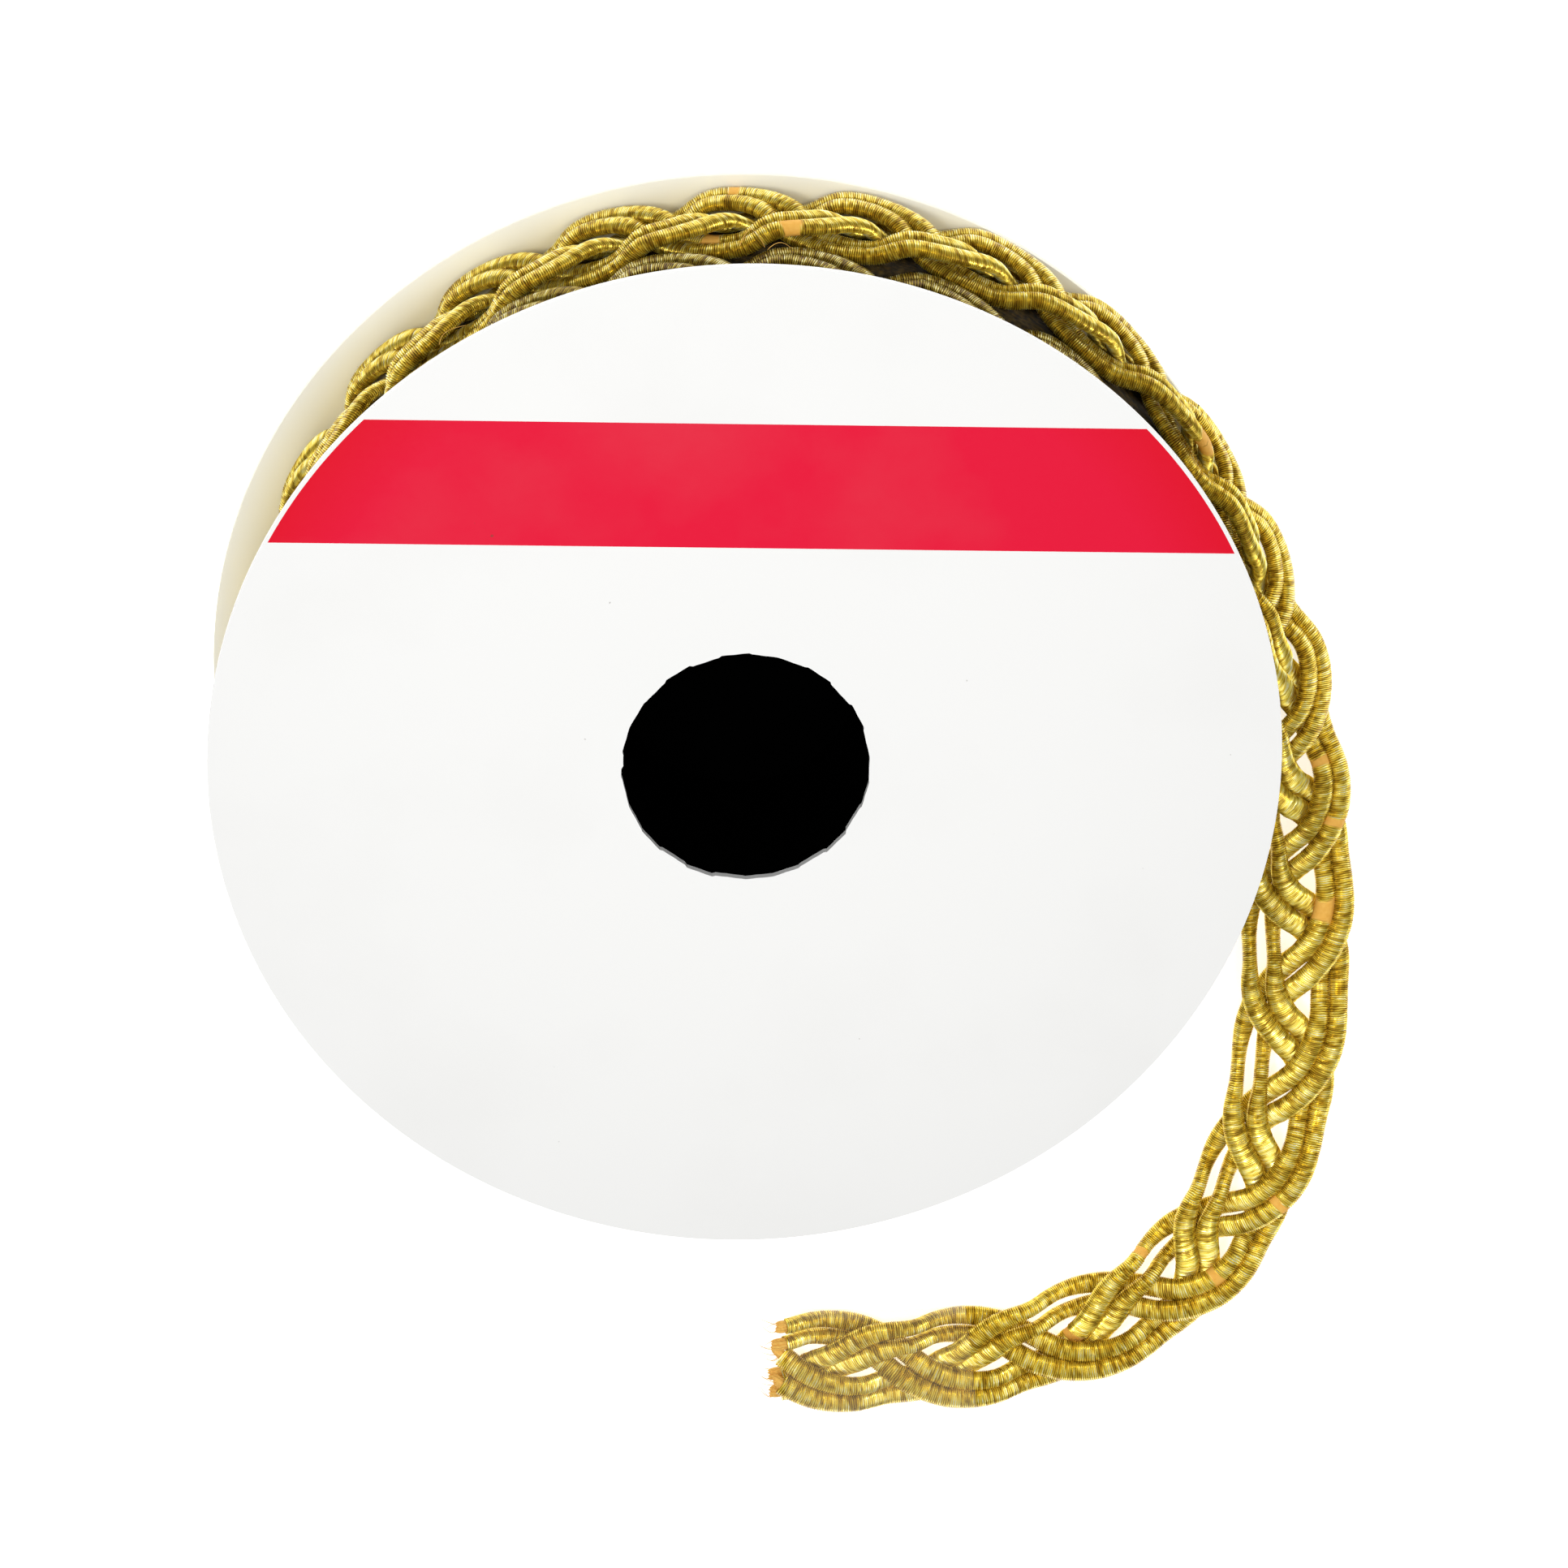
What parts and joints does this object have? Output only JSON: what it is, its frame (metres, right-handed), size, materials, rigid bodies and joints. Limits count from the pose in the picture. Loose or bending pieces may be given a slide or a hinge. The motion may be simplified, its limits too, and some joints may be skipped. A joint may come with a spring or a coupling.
{
  "type": "spool of braid trim",
  "caption": "Flat plaited metallic cord trim wound between two thin discs on a core, with a loose end that curves away over the surface to a taped cut.",
  "frame": {"origin": "on the spool's axis, at the surface that the back disc lies on", "axes": "+Z out of the front disc along the spool's axis, +Y towards the top of the front disc's label, +X to the label's right"},
  "size_m": [0.1191, 0.1415, 0.0262],
  "materials": {
    "ivory_board": "smooth, slightly glossy",
    "black_core": "matt",
    "gold_winding": "metallic thread",
    "white_card": "smooth card with a plain red band",
    "gold_cord": "metallic thread",
    "clear_tape": "clear film"
  },
  "bodies": {
    "root": {"back_disc": "ivory_board", "core": "black_core", "wound_braid": "gold_winding", "front_disc": "white_card", "loose_cord_1": "gold_cord", "loose_cord_2": "gold_cord", "loose_cord_3": "gold_cord", "loose_cord_4": "gold_cord", "loose_cord_5": "gold_cord", "loose_cord_6": "gold_cord", "end_tape": "clear_tape"}
  },
  "joints": []
}
